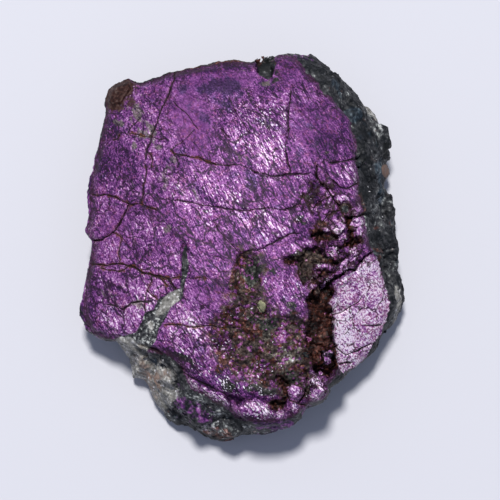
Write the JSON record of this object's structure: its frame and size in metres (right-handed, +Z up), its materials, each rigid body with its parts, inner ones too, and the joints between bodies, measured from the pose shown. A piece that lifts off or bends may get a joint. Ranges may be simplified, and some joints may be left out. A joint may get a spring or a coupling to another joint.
{
  "type": "purpurite specimen",
  "caption": "Broken lump of purple metallic purpurite on weathered rock, with a cracked, gently domed cleavage face, a grey vein and a flat spot underneath to rest on.",
  "frame": {"origin": "middle of the stone's bounding box in plan, at the level of the flat spot that it rests on", "axes": "+Z up out of the purple cleaved face, +Y along the longest side of the face towards its upper edge in the picture, +X to the right of the face"},
  "size_m": [0.0264, 0.0312, 0.0105],
  "materials": {
    "purple_stone": "satin, silky metallic on the cleaved face and dull on the broken rock"
  },
  "bodies": {
    "root": {"purpurite": "purple_stone"}
  },
  "joints": []
}
